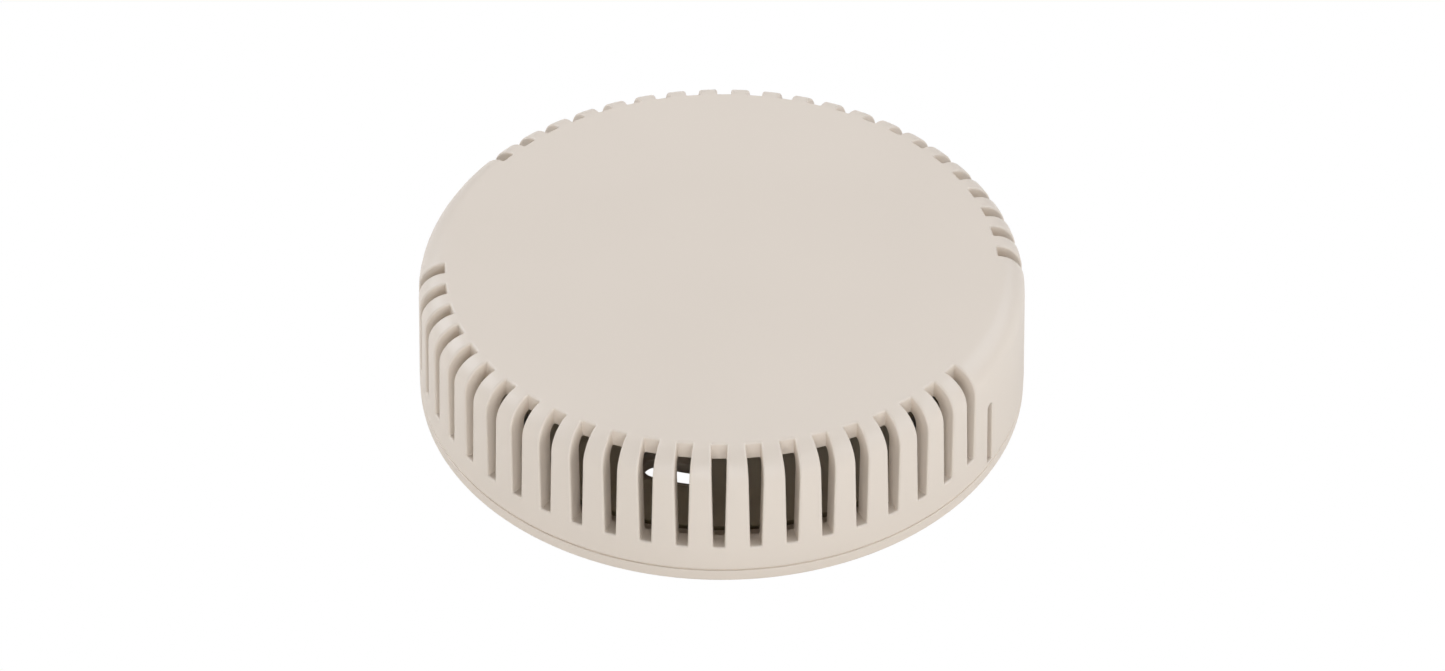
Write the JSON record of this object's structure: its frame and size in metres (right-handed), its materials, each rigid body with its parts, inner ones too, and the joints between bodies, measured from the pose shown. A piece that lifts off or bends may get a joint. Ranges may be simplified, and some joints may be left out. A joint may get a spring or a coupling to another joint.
{
  "type": "carbon monoxide detector",
  "caption": "Round low ceiling or wall carbon monoxide detector: slotted lift-off cover, base with fixing slots, board with gas cell, terminals, switches and trimmers.",
  "frame": {"origin": "centre of the base's mounting face, at the bottom of the bounding box", "axes": "+Z out of the mounting face through the cover's flat top; -Y is the side seen from the front, +X its right"},
  "size_m": [0.1, 0.1, 0.0243],
  "materials": {
    "moulded_abs": "satin moulded ABS, warm off-white",
    "board_laminate": "glass laminate under a matt tan solder resist",
    "zinc_steel": "bright zinc-plated steel",
    "terminal_brass": "stamped brass",
    "gold_pin": "gold-flashed pin",
    "black_plastic": "black moulded plastic",
    "terminal_green": "green moulded polyamide",
    "switch_red": "red moulded plastic",
    "trimmer_blue": "blue moulded plastic",
    "white_plastic": "white moulded plastic",
    "filter_membrane": "matt fibrous membrane",
    "capacitor_sleeve": "shrink sleeve over an aluminium can",
    "lamp_lens": "clear tinted epoxy"
  },
  "bodies": {
    "base": {"base_plate": "moulded_abs", "circuit_board": "board_laminate", "cell_can": "black_plastic", "cell_cap": "white_plastic", "cell_filter": "filter_membrane", "terminal_block": "terminal_green", "relay": "black_plastic", "sounder": "black_plastic", "microcontroller": "black_plastic", "regulator": "black_plastic", "capacitor_1": "capacitor_sleeve", "capacitor_2": "capacitor_sleeve", "status_lamp": "lamp_lens", "address_switch": "switch_red", "zero_trimmer_body": "trimmer_blue", "span_trimmer_body": "trimmer_blue", "test_switch_body": "zinc_steel", "board_screw_1": "zinc_steel", "cell_pin_1": "gold_pin", "board_screw_2": "zinc_steel", "cell_pin_2": "gold_pin", "board_screw_3": "zinc_steel", "cell_pin_3": "gold_pin"},
    "cover": {"cover": "moulded_abs"},
    "test_switch_plunger": {"test_switch_plunger": "black_plastic"},
    "zero_trimmer_rotor": {"zero_trimmer_rotor": "white_plastic"},
    "span_trimmer_rotor": {"span_trimmer_rotor": "white_plastic"},
    "address_slider_1": {"address_slider_1": "white_plastic"},
    "address_slider_2": {"address_slider_2": "white_plastic"},
    "address_slider_3": {"address_slider_3": "white_plastic"},
    "address_slider_4": {"address_slider_4": "white_plastic"},
    "terminal_screw_1": {"terminal_screw_1": "zinc_steel"},
    "terminal_screw_2": {"terminal_screw_2": "zinc_steel"},
    "terminal_screw_3": {"terminal_screw_3": "zinc_steel"},
    "terminal_screw_4": {"terminal_screw_4": "zinc_steel"},
    "terminal_clamp_1": {"terminal_clamp_1": "terminal_brass"},
    "terminal_clamp_2": {"terminal_clamp_2": "terminal_brass"},
    "terminal_clamp_3": {"terminal_clamp_3": "terminal_brass"},
    "terminal_clamp_4": {"terminal_clamp_4": "terminal_brass"}
  },
  "joints": [
    {"name": "cover_lift", "type": "slide", "parent": "base", "child": "cover", "axis": [0, 0, 1], "range_m": [0, 0.03]},
    {"name": "test_press", "type": "slide", "parent": "base", "child": "test_switch_plunger", "axis": [0, 0, -1], "range_m": [0, 0.0003], "stiffness_N_per_m": 150},
    {"name": "zero_turn", "type": "hinge", "parent": "base", "child": "zero_trimmer_rotor", "pos_m": [0.015, -0.013, 0.0095], "axis": [0, 0, 1], "range_deg": [-130, 130]},
    {"name": "span_turn", "type": "hinge", "parent": "base", "child": "span_trimmer_rotor", "pos_m": [0.0235, -0.012, 0.0095], "axis": [0, 0, 1], "range_deg": [-130, 130]},
    {"name": "address_1_set", "type": "slide", "parent": "base", "child": "address_slider_1", "axis": [0, 1, 0], "range_m": [0, 0.0016]},
    {"name": "address_2_set", "type": "slide", "parent": "base", "child": "address_slider_2", "axis": [0, 1, 0], "range_m": [0, 0.0016]},
    {"name": "address_3_set", "type": "slide", "parent": "base", "child": "address_slider_3", "axis": [0, 1, 0], "range_m": [0, 0.0016]},
    {"name": "address_4_set", "type": "slide", "parent": "base", "child": "address_slider_4", "axis": [0, 1, 0], "range_m": [0, 0.0016]},
    {"name": "terminal_1_turn", "type": "hinge", "parent": "base", "child": "terminal_screw_1", "pos_m": [-0.00762, 0.0096, 0.0142], "axis": [0, 0, 1], "range_deg": [-1200, 0]},
    {"name": "clamp_1_rise", "type": "slide", "parent": "base", "child": "terminal_clamp_1", "axis": [0, 0, 1], "range_m": [0, 0.0015]},
    {"name": "terminal_2_turn", "type": "hinge", "parent": "base", "child": "terminal_screw_2", "pos_m": [-0.00254, 0.0096, 0.0142], "axis": [0, 0, 1], "range_deg": [-1200, 0]},
    {"name": "clamp_2_rise", "type": "slide", "parent": "base", "child": "terminal_clamp_2", "axis": [0, 0, 1], "range_m": [0, 0.0015]},
    {"name": "terminal_3_turn", "type": "hinge", "parent": "base", "child": "terminal_screw_3", "pos_m": [0.00254, 0.0096, 0.0142], "axis": [0, 0, 1], "range_deg": [-1200, 0]},
    {"name": "clamp_3_rise", "type": "slide", "parent": "base", "child": "terminal_clamp_3", "axis": [0, 0, 1], "range_m": [0, 0.0015]},
    {"name": "terminal_4_turn", "type": "hinge", "parent": "base", "child": "terminal_screw_4", "pos_m": [0.00762, 0.0096, 0.0142], "axis": [0, 0, 1], "range_deg": [-1200, 0]},
    {"name": "clamp_4_rise", "type": "slide", "parent": "base", "child": "terminal_clamp_4", "axis": [0, 0, 1], "range_m": [0, 0.0015]}
  ],
  "couplings": [
    {"joint": "terminal_1_turn", "follows": "clamp_1_rise", "rad_per_m": -13960},
    {"joint": "terminal_2_turn", "follows": "clamp_2_rise", "rad_per_m": -13960},
    {"joint": "terminal_3_turn", "follows": "clamp_3_rise", "rad_per_m": -13960},
    {"joint": "terminal_4_turn", "follows": "clamp_4_rise", "rad_per_m": -13960}
  ]
}
